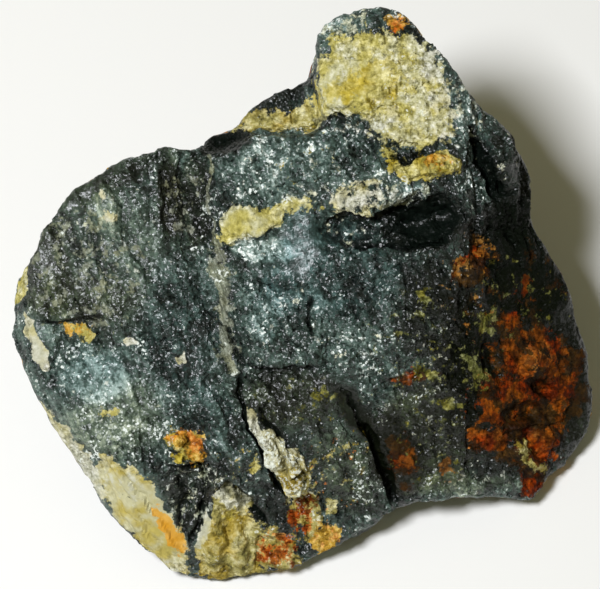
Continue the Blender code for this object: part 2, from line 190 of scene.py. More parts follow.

# Where small spots of a stain are strewn over the black, and where painted glints are: kind, middle and
# half size in pixels, turn, how thickly
strewn = {
    "peak border": ("white", (438, 88), (14, 52), 14, 0.60),
    "peak crown": ("paintedGlints", (350, 28), (34, 12), 24, 0.44),
    "peak foot": ("white", (384, 118), (20, 14), 0, 0.62),
    "peak dots": ("white", (380, 80), (60, 50), 0, 0.20),
    "below the peak": ("white", (350, 124), (30, 14), -20, 0.34),
    "peak edge": ("white", (448, 118), (10, 26), 10, 0.50),
    "brow top": ("white", (358, 197), (34, 20), 16, 0.56),
    "brow top right": ("paintedGlints", (398, 194), (32, 14), 16, 0.52),
    "brow cream": ("cream", (350, 202), (26, 14), 16, 0.34),
    "brow tail": ("cream", (322, 208), (20, 9), 16, 0.30),
    "right of the centre": ("film", (415, 345), (56, 70), 0, 0.24),
    "right white": ("paintedGlints", (415, 360), (56, 80), 0, 0.16),
    "low right": ("film", (430, 440), (50, 56), 0, 0.24),
    "low right white": ("paintedGlints", (475, 480), (50, 22), 0, 0.22),
    "lobe feather": ("white", (110, 211), (7, 22), 24, 0.50),
    "slab": ("film", (300, 410), (60, 46), 0, 0.20),
    "slab white": ("paintedGlints", (300, 345), (60, 24), 0, 0.16),
    "low slab": ("orange", (335, 480), (34, 50), 0, 0.16),
    "low slab tan": ("olive", (335, 470), (40, 60), 0, 0.24),
    "middle": ("paintedGlints", (270, 300), (40, 50), 0, 0.16),
    "upper face": ("paintedGlints", (290, 178), (76, 30), 0, 0.22),
    "upper tan": ("olive", (310, 170), (40, 30), 0, 0.20),
    "lobe": ("paintedGlints", (110, 230), (70, 70), 0, 0.15),
    "lobe tan": ("vein", (80, 270), (80, 80), 0, 0.36),
    "low lobe": ("paintedGlints", (100, 400), (70, 50), 0, 0.15),
    "front pit": ("paintedGlints", (195, 495), (30, 44), 0, 0.34),
    "slope tan": ("olive", (240, 465), (24, 24), 0, 0.26),
    "peak side": ("paintedGlints", (462, 110), (26, 50), 20, 0.38),
    "gash cheek": ("paintedGlints", (503, 166), (16, 32), 14, 0.16),
    "flank": ("film", (515, 310), (60, 60), 0, 0.24),
    "flank rust": ("rust", (520, 390), (58, 80), 0, 0.26),
    "flank brown": ("brown", (510, 300), (70, 70), 0, 0.28),
    "flank left": ("tan", (470, 290), (40, 50), 0, 0.24),
    "groove": ("vein", (185, 200), (22, 45), 0, 0.34),
    "brow left": ("paintedGlints", (350, 230), (28, 14), 0, 0.22),
    "under inclusion": ("orange", (304, 518), (16, 22), -20, 0.52),
    "under inclusion rust": ("rust", (302, 514), (16, 24), -20, 0.54),
    "front rust": ("orange", (278, 548), (22, 18), 0, 0.56),
    "front brown": ("rust", (280, 550), (24, 20), 0, 0.44),
    "front orange": ("orange", (326, 540), (18, 16), 0, 0.34),
    "side white": ("white", (120, 480), (22, 34), 42, 0.40),
    "side low": ("white", (160, 566), (30, 12), -30, 0.50),
    "lump white": ("white", (232, 530), (28, 36), 0, 0.24),
}

# Smooth places, where the stone's roughness is taken down, and below 0 rougher ones: middle
# and half size in pixels, turn, by how much
calm = {
    "inclusion": ((284, 460), (16, 44), 35, -1.1),
    "lump": ((232, 535), (28, 36), 0, 0.25),
    "sliver": ((206, 534), (8, 20), -14, 0.60),
    "pale side": ((144, 512), (28, 66), 42, 0.92),
    "left lobe": ((100, 250), (74, 90), 0, 0.42),
    "groove": ((176, 196), (20, 38), 0, 0.40),
    "low right": ((440, 430), (42, 46), 0, 0.30),
    "low lobe": ((110, 400), (60, 44), 20, 0.40),
    "lobe rim": ((96, 176), (80, 12), 38, 0.45),
    "low right rim": ((465, 482), (60, 16), 0, 0.35),
    "left rim": ((42, 250), (12, 50), 0, 0.35),
    "flank": ((525, 360), (60, 110), 0, 0.40),
    "flank top": ((534, 262), (36, 44), 30, 0.30),
    "flank rust": ((526, 396), (40, 70), 0, -0.20),
    "peak": ((346, 84), (38, 24), 20, 0.40),
    "slab": ((304, 424), (58, 66), 0, 0.30),
    "face patch": ((250, 222), (24, 12), 8, 0.50),
    "left white": ((38, 344), (8, 28), 0, 0.60),
    "slate": ((304, 240), (26, 36), -8, 0.85),
    "slate low": ((270, 268), (34, 10), 0, 0.50),
    "hollow": ((424, 222), (30, 20), 6, 0.60),
    "crack facet": ((354, 412), (12, 30), 32, 0.80),
    "notch": ((394, 452), (24, 42), 24, 0.55),
    "middle slope": ((206, 370), (12, 50), 0, 0.45),
    "flank rim": ((584, 420), (16, 40), 0, 0.50),
}

# Swellings and hollows on the face: middle and half size in pixels, turn, height in mm
swells = {
    "gash cheek": ((503, 166), (12, 34), 12, 1.4),
    "inclusion strip": ((253, 422), (5, 18), 18, 0.9),
    "inclusion": ((283, 463), (11, 38), 35, 0.6),
    "inclusion left": ((268, 450), (5, 18), 28, 0.8),
    "inclusion right": ((299, 463), (6, 14), 20, 0.8),
    "inclusion foot": ((295, 485), (10, 9), -20, 0.7),
    "nodule": ((180, 440), (9, 10), 0, 0.8),
    "nodule low": ((194, 452), (10, 11), 0, 0.9),
    "lip": ((425, 168), (34, 9), 8, 1.1),
    "under the lip": ((403, 150), (20, 7), 10, -0.7),
    "face patch": ((248, 222), (24, 14), 8, 0.8),
    "brow top": ((362, 198), (32, 14), 14, 0.9),
    "brow hollow": ((426, 222), (28, 16), 8, -1.2),
    "brow left": ((350, 230), (22, 10), 0, -0.4),
    "patch foot": ((262, 249), (34, 8), 0, -0.4),
    "pit top": ((188, 482), (14, 10), 0, -0.8),
    "pit": ((193, 510), (16, 14), 0, -1.2),
    "pit ridge": ((203, 494), (5, 14), -20, 0.9),
    "dark plate": ((272, 512), (24, 14), -20, -0.5),
    "lump head": ((234, 500), (12, 9), -25, 1.0),
    "lump left": ((216, 545), (9, 24), -8, 0.8),
    "lump right": ((240, 548), (10, 24), 8, 0.8),
    "lump end": ((280, 552), (15, 13), 0, 0.8),
    "white ridge": ((110, 208), (7, 24), 20, 0.9),
    "groove left": ((167, 200), (7, 40), 0, -0.9),
    "groove right": ((191, 198), (7, 36), 0, -0.6),
    "lobe notch": ((62, 225), (10, 12), 0, -0.7),
    "crust": ((530, 458), (20, 8), -38, 1.2),
    "rust knob": ((535, 362), (14, 16), 0, 1.0),
    "rust knob low": ((545, 438), (14, 12), 0, 1.0),
    "rust pit": ((545, 388), (9, 9), 0, -1.2),
    "rust pit low": ((520, 412), (20, 10), 0, -1.2),
    "rust pit left": ((488, 358), (9, 16), 0, -1.0),
    "rust spot": ((405, 462), (7, 7), 0, 0.8),
    "facet": ((352, 408), (11, 26), 28, -0.3),
    "peak dip": ((372, 118), (24, 8), 20, -0.6),
    "peak shelf": ((356, 96), (30, 8), 14, 0.7),
    "peak knob": ((420, 70), (14, 12), 0, 0.5),
}

# Edges where the stone steps down: line in pixels with the high side on its left as it
# runs, height mm, how far it takes to level out mm
steps = {
    "left crack": ([(296, 520), (278, 486), (262, 458), (249, 430), (243, 400), (240, 370)], 0.9, 3.5),
    "right crack": ([(396, 500), (384, 470), (370, 440), (354, 412), (338, 384)], 0.9, 3.5),
    "column": ([(356, 504), (340, 470), (324, 436), (308, 404)], 0.45, 2.0),
    "column low": ([(330, 520), (314, 492), (306, 470)], 0.5, 1.8),
    "slab edge": ([(238, 367), (262, 368), (290, 370), (318, 365), (338, 372)], 0.7, 3.0),
    "patch edge": ([(222, 246), (246, 240), (268, 228), (286, 219), (304, 205)], 0.6, 3.0),
    "centre": ([(232, 292), (262, 286), (300, 288), (340, 284), (380, 282)], 0.4, 3.0),
    "centre low": ([(236, 330), (270, 326), (310, 330), (350, 338), (400, 344)], 0.5, 3.0),
    "upper": ([(222, 186), (250, 182), (280, 184), (310, 178), (336, 168)], 0.5, 3.0),
    "under the brow": ([(336, 262), (366, 259), (396, 262), (420, 258)], 0.5, 2.0),
    "lobe": ([(40, 322), (70, 321), (104, 320), (130, 328)], 0.6, 3.0),
    "lobe high": ([(126, 232), (100, 224), (84, 200), (78, 182)], 0.5, 2.5),
    "slope": ([(214, 470), (206, 430), (203, 390), (206, 350), (210, 300)], 0.4, 3.0),
    "right": ([(402, 300), (430, 310), (440, 350), (470, 400), (500, 440)], 0.6, 4.0),
    "right low": ([(400, 410), (420, 424), (452, 430), (476, 420)], 0.6, 3.0),
    "flank": ([(500, 430), (530, 428), (556, 420), (574, 400)], 0.7, 3.0),
    "side": ([(186, 556), (160, 520), (130, 482), (104, 456)], 0.5, 2.0),
}

# Cracks and edges cut finer than the solid has them: line in pixels, half width mm, depth mm, how dark
# it is painted, which is painted shade in the crack and just past it; below 0 it is a painted highlight
cuts = {
    "right crack": ([(362, 424), (372, 440), (382, 462), (390, 482), (394, 506)], 0.9, 2.0, 0.55),
    "right crack top": ([(338, 384), (348, 400), (358, 416), (366, 430)], 0.4, 0.4, 0.1),
    "left crack": ([(238, 368), (240, 395), (246, 424), (257, 448), (270, 470), (282, 490),
        (296, 498)], 0.5, 1.2, 0.7),
    "left crack foot": ([(296, 498), (306, 516), (308, 540), (304, 560)], 0.5, 0.4, 0.1),
    "inclusion slit": ([(258, 404), (266, 418), (276, 432), (286, 442)], 0.5, 1.0, 0.6),
    "small crack": ([(311, 298), (308, 312), (309, 325), (314, 338)], 0.3, 0.7, 0.6),
    "slab edge": ([(246, 366), (262, 368), (290, 370), (318, 365)], 0.4, 0.6, 0.35),
    "gash": ([(476, 126), (478, 158), (484, 180), (492, 202)], 0.7, 1.4, 0.6),
    "gash branch": ([(484, 150), (491, 170), (498, 196)], 0.6, 1.2, 0.5),
    "hollow foot": ([(334, 240), (352, 246), (380, 246), (410, 245), (440, 240),
        (456, 226)], 0.6, 1.2, 0.5),
    "hollow roof": ([(326, 224), (346, 216), (376, 216), (400, 208), (418, 190)], 0.5, 0.9, 0.3),
    "hollow arc": ([(382, 238), (396, 224), (418, 212), (446, 210)], 0.4, 0.6, 0.3),
    # a painted highlight along a raised edge in the hollow
    "hollow glint": ([(392, 236), (406, 222), (430, 213), (454, 216)], 0.4, -0.3, -0.50),
    "under the lip": ([(388, 154), (398, 160), (412, 158), (426, 150)], 0.6, 0.9, 0.6),
    "lobe edge": ([(180, 146), (181, 170), (184, 196), (183, 222)], 0.3, 0.5, 0.2),
    "lobe fissure": ([(38, 322), (60, 322), (84, 318), (104, 321)], 0.3, 0.6, 0.5),
    "pit crack": ([(196, 462), (206, 480), (199, 512), (190, 550)], 0.6, 1.2, 0.4),
    "pit side": ([(176, 476), (186, 496), (178, 520), (186, 540)], 0.5, 0.9, 0.3),
    "pit top": ([(168, 470), (184, 470), (200, 468), (214, 476)], 0.4, 0.8, 0.3),
    "lump edge": ([(220, 487), (236, 489), (250, 500), (258, 516), (268, 532)], 0.6, 0.9, 0.7),
    "lump split": ([(228, 524), (230, 546), (226, 572)], 0.4, 0.5, 0.1),
    "lump end": ([(258, 534), (262, 552), (260, 572)], 0.4, 0.5, 0.2),
    "inclusion valley": ([(270, 436), (279, 446), (285, 460), (287, 474)], 0.6, 0.8, 0.6),
    "inclusion split": ([(279, 477), (290, 476), (300, 470), (308, 472)], 0.5, 0.7, 0.5),
    "inclusion notch": ([(291, 447), (297, 456), (293, 466)], 0.4, 0.6, 0.4),
    "nodule crack": ([(172, 452), (182, 446), (190, 440), (192, 432)], 0.3, 0.5, 0.7),
    "nodule split": ([(184, 446), (186, 456), (182, 464)], 0.3, 0.5, 0.7),
    "fan": ([(100, 456), (118, 484), (146, 524), (168, 560)], 0.5, 0.4, 0.25),
    "fan low": ([(97, 462), (108, 494), (128, 528), (150, 560)], 0.5, 0.4, 0.2),
    "fan high": ([(104, 455), (130, 480), (156, 512)], 0.5, 0.4, 0.2),
    "foot crack": ([(310, 128), (324, 119), (340, 116), (352, 122)], 0.4, 0.6, 0.5),
    "side edge": ([(97, 458), (110, 490), (128, 516), (150, 540)], 0.3, 0.4, 0.1),
}

# Where the matrix and the stains lie, as outlines on the face in pixels: kind, softness mm
patches = {
    "vein line": ("vein", 0.25, [(205, 152), (208, 152), (211, 190), (216, 238), (213, 239),
        (208, 192)]),
    "vein": ("vein", 1.5, [(212, 236), (219, 234), (226, 262), (229, 320), (235, 372), (228, 376),
        (219, 340), (214, 290)]),
    "peak": ("cream", 1.8, [(318, 58), (316, 98), (302, 116), (300, 128), (316, 129), (332, 117),
        (352, 113), (368, 124), (380, 144), (390, 162), (398, 158), (388, 148), (405, 146), (428, 150),
        (447, 140), (452, 118), (450, 92), (440, 64), (426, 44), (408, 34), (385, 30), (360, 32),
        (336, 40)]),
    "back ledge": ("olive", 1.0, [(235, 130), (243, 117), (258, 108), (285, 112), (302, 104), (316, 96),
        (318, 112), (314, 130), (280, 132), (250, 133)]),
    "face patch": ("cream", 0.9, [(221, 238), (223, 216), (236, 207), (256, 205), (272, 208),
        (286, 203), (304, 192), (307, 203), (288, 217), (276, 226), (260, 229), (248, 238), (234, 245),
        (223, 245)]),
    "pale side": ("pale", 0.7, [(97, 452), (110, 456), (133, 469), (155, 488), (167, 510), (180, 530),
        (191, 553), (186, 580), (162, 571), (133, 542), (107, 508), (100, 492), (94, 474)]),
    "front lump": ("olive", 0.7, [(218, 492), (236, 490), (250, 500), (250, 516), (264, 536),
        (268, 560), (262, 574), (240, 580), (200, 580), (196, 562), (206, 530), (214, 516)]),
    "inclusion": ("pale", 0.45, [(259, 426), (270, 427), (275, 436), (284, 436), (290, 447), (300, 446),
        (299, 456), (307, 459), (305, 469), (312, 479), (307, 500), (298, 501), (290, 488), (281, 486),
        (279, 474), (268, 462), (260, 442)]),
    "inclusion foot": ("olive", 1.8, [(282, 472), (300, 464), (313, 480), (307, 503), (297, 503),
        (286, 486)]),
    "inclusion strip": ("white", 0.4, [(246, 406), (254, 409), (263, 430), (270, 446), (268, 458),
        (258, 440), (250, 422)]),
    "left strip": ("white", 0.35, [(28, 312), (35, 322), (39, 345), (48, 364), (52, 371), (42, 371),
        (31, 356), (27, 336)]),
    "left rim": ("cream", 0.5, [(14, 262), (26, 258), (29, 272), (26, 300), (17, 306)]),
    "left flake": ("white", 0.3, [(121, 341), (130, 338), (138, 346), (126, 348)]),
    "small flake": ("white", 0.3, [(177, 357), (184, 354), (189, 361), (181, 364)]),
    "low left rim": ("white", 0.7, [(34, 396), (46, 402), (64, 424), (84, 452), (98, 478), (104, 500),
        (94, 496), (78, 476), (58, 448), (42, 422)]),
    "front sliver": ("white", 0.3, [(208, 513), (215, 519), (211, 536), (204, 554), (197, 550),
        (200, 530)]),
    "peak streak": ("yellow", 2.6, [(306, 112), (318, 94), (335, 88), (352, 70), (376, 60), (402, 62),
        (416, 80), (400, 96), (384, 100), (352, 100), (330, 108), (314, 122)]),
    "lip": ("yellow", 0.7, [(380, 158), (392, 160), (402, 165), (415, 160), (424, 155), (446, 152),
        (461, 158), (460, 168), (448, 176), (425, 183), (404, 181), (390, 172)]),
    "lip middle": ("ochre", 1.8, [(424, 160), (434, 156), (445, 158), (438, 166), (426, 168)]),
    "peak spot": ("ochre", 1.0, [(388, 16), (398, 12), (408, 20), (404, 30), (392, 27)]),
    "peak spot heart": ("orange", 1.2, [(390, 18), (398, 16), (402, 24), (394, 26)]),
    "side yellow": ("cream", 1.8, [(116, 500), (140, 508), (156, 512), (178, 552), (184, 572),
        (160, 556), (138, 530)]),
    "side orange": ("amber", 0.6, [(152, 507), (161, 509), (172, 521), (182, 536), (191, 555),
        (183, 557), (170, 543), (159, 527)]),
    "left spot": ("yellow", 0.8, [(64, 326), (76, 321), (84, 324), (94, 336), (88, 344), (80, 334),
        (70, 332)]),
    "left spot end": ("ochre", 1.6, [(62, 327), (76, 319), (84, 326), (76, 332)]),
    "low left spot": ("yellow", 1.0, [(101, 410), (110, 405), (118, 412), (112, 420), (103, 417)]),
    "nodule": ("yellow", 0.9, [(163, 438), (170, 430), (180, 428), (186, 433), (197, 428), (206, 436),
        (201, 446), (206, 458), (197, 468), (188, 460), (178, 466), (170, 456), (175, 447)]),
    "nodule side": ("ochre", 1.2, [(168, 434), (184, 428), (204, 432), (206, 460), (192, 466),
        (186, 450), (172, 442)]),
    "nodule heart": ("orange", 1.4, [(184, 431), (198, 430), (205, 442), (202, 456), (192, 450)]),
    "slab spot": ("film", 1.6, [(310, 390), (320, 386), (330, 392), (322, 400), (312, 398)]),
    "crack spot": ("yellow", 1.0, [(249, 462), (256, 460), (260, 470), (252, 472)]),
    "right streak": ("brown", 1.6, [(392, 378), (404, 374), (430, 368), (438, 373), (424, 382),
        (402, 386)]),
    "right streak top": ("film", 2.6, [(406, 376), (426, 369), (437, 372), (424, 381)]),
    "right streak red": ("rust", 1.4, [(398, 379), (412, 373), (420, 378), (404, 384)]),
    "brow spot": ("film", 0.8, [(415, 292), (423, 289), (428, 300), (421, 308)]),
    "green spot": ("film", 0.8, [(393, 333), (402, 329), (408, 335), (400, 341)]),
    "low green spot": ("film", 1.8, [(430, 402), (448, 395), (462, 404), (446, 411)]),
    "flank streak": ("rust", 0.5, [(448, 276), (456, 268), (464, 255), (470, 256), (462, 270),
        (452, 281)]),
    "flank streak heart": ("tan", 1.3, [(450, 275), (464, 264), (469, 262), (460, 275)]),
    "flank spot": ("tan", 1.9, [(478, 243), (485, 240), (488, 250), (482, 262), (478, 256)]),
    "flank spot side": ("rust", 0.8, [(474, 246), (482, 242), (482, 256), (474, 262)]),
    "flank orange": ("brown", 1.6, [(452, 280), (470, 262), (476, 240), (490, 244), (488, 262),
        (482, 284), (466, 286)]),
    "flank dots": ("rust", 1.8, [(520, 284), (528, 278), (534, 290), (526, 298)]),
    "flank yellow": ("film", 2.0, [(475, 322), (485, 314), (494, 322), (490, 336), (480, 336)]),
    "flank olive": ("film", 2.2, [(464, 350), (474, 352), (476, 364), (487, 372), (484, 388),
        (474, 384), (464, 372)]),
    "flank": ("brown", 2.4, [(490, 326), (502, 314), (516, 314), (524, 326), (540, 328), (556, 340),
        (570, 348), (582, 372), (578, 398), (570, 420), (564, 440), (552, 460), (546, 478), (536, 494),
        (524, 494), (516, 474), (506, 454), (484, 450), (468, 440), (474, 428), (498, 434), (500, 416),
        (484, 404), (480, 388), (496, 376), (502, 360), (500, 342)]),
    "flank rim": ("brown", 2.0, [(566, 346), (582, 352), (589, 372), (590, 398), (580, 420), (572, 400),
        (572, 370)]),
    "flank haze": ("brown", 1.4, [(560, 352), (572, 346), (580, 358), (576, 370), (564, 368)]),
    "rust knob": ("rust", 1.2, [(498, 318), (506, 313), (516, 315), (519, 328), (506, 333)]),
    "rust ridge": ("rust", 1.8, [(522, 330), (540, 327), (558, 342), (562, 358), (546, 352),
        (532, 344)]),
    "rust heart": ("rust", 1.5, [(500, 346), (514, 340), (526, 352), (530, 372), (512, 380),
        (501, 366)]),
    "rust arch": ("rust", 1.6, [(530, 350), (544, 353), (558, 362), (570, 374), (571, 398), (556, 404),
        (546, 398), (553, 380), (540, 366)]),
    "rust band": ("rust", 1.4, [(498, 384), (516, 378), (532, 384), (542, 396), (524, 404),
        (504, 400)]),
    "rust left": ("rust", 1.5, [(480, 398), (494, 400), (502, 418), (490, 430), (478, 414)]),
    "rust right": ("rust", 1.6, [(550, 404), (567, 404), (563, 426), (550, 430)]),
    "rust low": ("rust", 1.2, [(526, 434), (546, 430), (557, 444), (552, 462), (540, 466), (530, 450)]),
    "rust tip": ("rust", 1.2, [(522, 474), (538, 476), (546, 480), (536, 494), (522, 493)]),
    "ember": ("orange", 2.6, [(538, 438), (550, 442), (550, 458), (540, 458)]),
    "ember high": ("orange", 2.8, [(520, 356), (530, 358), (528, 370), (518, 368)]),
    "ember right": ("orange", 2.8, [(532, 342), (546, 346), (548, 356), (536, 354)]),
    "flank crust": ("olive", 1.0, [(514, 444), (526, 446), (540, 462), (546, 474), (536, 472),
        (524, 462)]),
    "flank low": ("rust", 1.2, [(466, 436), (484, 428), (504, 438), (510, 450), (486, 450)]),
    "flank low heart": ("orange", 2.0, [(470, 438), (484, 433), (496, 440), (484, 446)]),
    "front rust": ("olive", 1.6, [(258, 532), (275, 528), (298, 542), (302, 562), (288, 568),
        (262, 570), (254, 552)]),
    "front orange": ("ochre", 0.9, [(310, 540), (324, 524), (343, 530), (341, 548), (322, 556),
        (311, 552)]),
    "front tan": ("olive", 0.6, [(326, 502), (338, 500), (340, 514), (329, 518)]),
    "under inclusion": ("olive", 1.3, [(288, 496), (304, 498), (318, 500), (326, 518), (320, 536),
        (308, 544), (298, 522)]),
    "notch": ("brown", 2.0, [(388, 440), (408, 438), (418, 460), (412, 482), (396, 478)]),
    "notch rust": ("rust", 1.6, [(397, 454), (408, 450), (413, 462), (406, 472), (398, 468)]),
    "notch heart": ("orange", 1.8, [(400, 456), (408, 455), (410, 464), (403, 467)]),
    "notch tan": ("tan", 1.6, [(436, 467), (448, 464), (452, 474), (442, 479)]),
    "lump top": ("white", 0.6, [(218, 492), (228, 488), (242, 492), (252, 502), (246, 512), (232, 508),
        (222, 502)]),
    "lump yellow": ("yellow", 0.8, [(225, 506), (236, 504), (241, 512), (232, 519), (225, 516)]),
}

# Stains on the sides and the back, where no picture shows them: sizes in mm of the large and
# the small noise, where the large one starts, their weights, and how much of it stays bare
sideStains = {
    "rust": ((14, 5), (5, 1, 8), (0.75, 0.35), 0.30),
    "cream": ((17, 6), (1, 9, 2), (0.8, 0.3), 0.34),
    "ochre": ((9, 3), (7, 3, 3), (0.7, 0.3), 0.34),
}


def faceXY(points):
    # where millimetre points are seen on the face
    away = points - np.array(face["origin"])
    near = 1 - away @ np.array(faceOut) / face["eye"]
    return np.stack([away[:, 0] / near, (away @ np.array(faceUp)) / near], axis=1)


def fromPhoto(line):
    middle = np.array(face["middle"])
    return (np.array(line, float) - middle) * (face["pixel"], -face["pixel"])


def lineGap(xy, line, closed=False):
    # distance to a line, how far along it the nearest spot is, and 1 on its left side
    if closed:
        line = np.vstack([line, line[:1]])
    best = np.full(len(xy), np.inf)
    along = np.zeros(len(xy))
    side = np.zeros(len(xy))
    lengths = np.hypot(*np.diff(line, axis=0).T)
    passed = 0.0
    for start, end, length in zip(line[:-1], line[1:], lengths):
        step = end - start
        share = np.clip((xy - start) @ step / length**2, 0, 1)
        gap = np.hypot(*(xy - start - share[:, None] * step).T)
        nearer = gap < best
        best[nearer] = gap[nearer]
        along[nearer] = (passed + share[nearer] * length) / lengths.sum()
        away = xy[nearer] - start
        side[nearer] = np.sign(step[0] * away[:, 1] - step[1] * away[:, 0])
        passed += length
    return best, along, side


def insideOutline(xy, outline):
    inside = np.zeros(len(xy), bool)
    for (ax, ay), (bx, by) in zip(outline, np.roll(outline, -1, axis=0)):
        crosses = (ay > xy[:, 1]) != (by > xy[:, 1])
        edgeX = ax + (xy[:, 1] - ay) * (bx - ax) / (by - ay if by != ay else 1)
        inside ^= crosses & (xy[:, 0] < edgeX)
    return inside


def patchAmount(xy, softness, outline):
    # 1 well inside the outline, 0 well outside it and 0.5 on it
    outline = fromPhoto(outline)
    gap = lineGap(xy, outline, closed=True)[0]
    signed = np.where(insideOutline(xy, outline), gap, -gap)
    return np.clip(0.5 + signed / (2 * softness), 0, 1)


def areaAmount(xy, middle, half, turn):
    # 1 in the middle of a soft oval and 0 outside it
    turn = math.radians(turn)
    away = (xy - fromPhoto([middle])[0]) / face["pixel"]
    along = (away[:, 0] * math.cos(turn) + away[:, 1] * math.sin(turn)) / half[0]
    across = (away[:, 1] * math.cos(turn) - away[:, 0] * math.sin(turn)) / half[1]
    return 1 - smooth(*stone["ovalEdge"], np.hypot(along, across))


def wandered(xy):
    # moves each place a little, so that what is drawn with straight lines comes out ragged
    moved = np.array(xy)
    for number, (x, y) in enumerate(xy):
        for size, way in stone["wander"]:
            for axis, layer in enumerate(stone["wanderLayers"]):
                moved[number, axis] += way * noise.noise(Vector((x / size, y / size, layer)))
    return moved


def pointsOf(mesh):
    flat = np.empty(len(mesh.vertices) * 3)
    mesh.vertices.foreach_get("co", flat)
    return flat.reshape(-1, 3) / mm


def normalsOf(mesh):
    flat = np.empty(len(mesh.vertices) * 3)
    mesh.vertices.foreach_get("normal", flat)
    return flat.reshape(-1, 3)


def relaxed(bm):
    bmesh.ops.smooth_vert(bm, verts=bm.verts, factor=0.5, use_axis_x=True, use_axis_y=True,
                          use_axis_z=True)


def laidGrid(source):
    # an even grid over the solid, twice as fine on the face
    carrier = bpy.data.objects.new("carrier", source.data.copy())
    bpy.context.scene.collection.objects.link(carrier)
    remesh = carrier.modifiers.new("grid", "REMESH")
    remesh.mode = "VOXEL"
    remesh.voxel_size = stone["grid"] * mm
    settled = carrier.evaluated_get(bpy.context.evaluated_depsgraph_get())
    mesh = bpy.data.meshes.new_from_object(settled)
    bpy.data.objects.remove(carrier)
    bm = bmesh.new()
    bm.from_mesh(mesh)
    relaxed(bm)
    bm.normal_update()
    seen = [f for f in bm.faces if f.normal.dot(faceOut) > stone["fineFrom"]]
    edges = {e for f in seen for e in f.edges}
    bmesh.ops.subdivide_edges(bm, edges=list(edges), cuts=1, use_grid_fill=True)
    relaxed(bm)
    bmesh.ops.triangulate(bm, faces=bm.faces)
    bm.to_mesh(mesh)
    bm.free()
    return mesh


def squashed(point, stretch):
    return point - crystalAlong * (point.dot(crystalAlong) * (1 - 1 / stretch))


def flake(point, size):
    # a flat plate for each cell of the noise, with a tilt and a height of its own
    spot = squashed(point, stone["stretch"]) / size
    middle = noise.voronoi(spot)[1][0]
    tiltSeed, heightSeed = stone["plateSeeds"]
    tilt = noise.noise_vector(middle * tiltSeed)
    return stone["tilt"] * tilt.dot(spot - middle) + noise.noise(middle * heightSeed)


def sideAmount(points, sizes, start, weights, limit):
    found = []
    for point in points:
        point = Vector(point)
        found.append(weights[0] * noise.noise(point / sizes[0] + Vector(start))
                     + weights[1] * noise.noise(point / sizes[1]))
    return np.clip(0.5 + (np.array(found) - limit) * stone["sideEdge"], 0, 1)


def stainAmounts(points, xy, facing):
    amounts = {kind: np.zeros(len(points)) for kind in stains}
    for kind, softness, outline in patches.values():
        amounts[kind] = np.maximum(amounts[kind], patchAmount(xy, softness, outline) * facing)
    for kind, middle, half, turn, much in strewn.values():
        inside = areaAmount(xy, middle, half, turn)
        amounts[kind] = np.maximum(amounts[kind], inside * much * facing)
    hidden = smooth(*stone["sideFrom"], 1 - facing)
    for kind, settings in sideStains.items():
        amounts[kind] = np.maximum(amounts[kind], sideAmount(points, *settings) * hidden)
    return amounts


def roughened(points, matrix):
    # how far flakes, lumps and splinters stand out, and the splinters alone
    out = np.zeros(len(points))
    strand = np.zeros(len(points))
    width, stands, longer = stone["splinters"]
    for number, point in enumerate(points):
        point = Vector(point)
        share = matrix[number]
        for size, bare, onMatrix in stone["flakes"]:
            out[number] += flake(point, size) * (bare + (onMatrix - bare) * share)
        for size, bare, onMatrix in stone["lumps"]:
            out[number] += noise.noise(point / size) * (bare + (onMatrix - bare) * share)
        strand[number] = noise.noise(squashed(point, longer) / width)
        out[number] += strand[number] * stands * (1 - stone["lessOnMatrix"] * share)
    return out, strand


def addForms(out, xy, facing):
    for middle, half, turn, height in swells.values():
        out += areaAmount(xy, middle, half, turn) * height * facing
    edge = stone["stepEdge"]
    for line, height, reach in steps.values():
        gap, along, side = lineGap(xy, fromPhoto(line))
        ends = smooth(0, stone["stepEnds"], np.minimum(along, 1 - along)) * facing
        out += height * ends * smooth(-edge, edge, gap * side) * np.clip(1 - gap / reach, 0, 1) ** 2


def cutCracks(out, xy, facing):
    # cuts the cracks and gives back their painted shade
    dark = np.zeros(len(out))
    for line, half, depth, darkness in cuts.values():
        gap, along = lineGap(xy, fromPhoto(line))[:2]
        ends = smooth(0, stone["cutEnds"], np.minimum(along, 1 - along) + stone["cutStart"]) * facing
        out -= depth * ends * np.clip(1 - gap / half, 0, 1)
        dark += darkness * ends * np.clip(stone["darkReach"] - gap / half, 0, 1)
    return dark


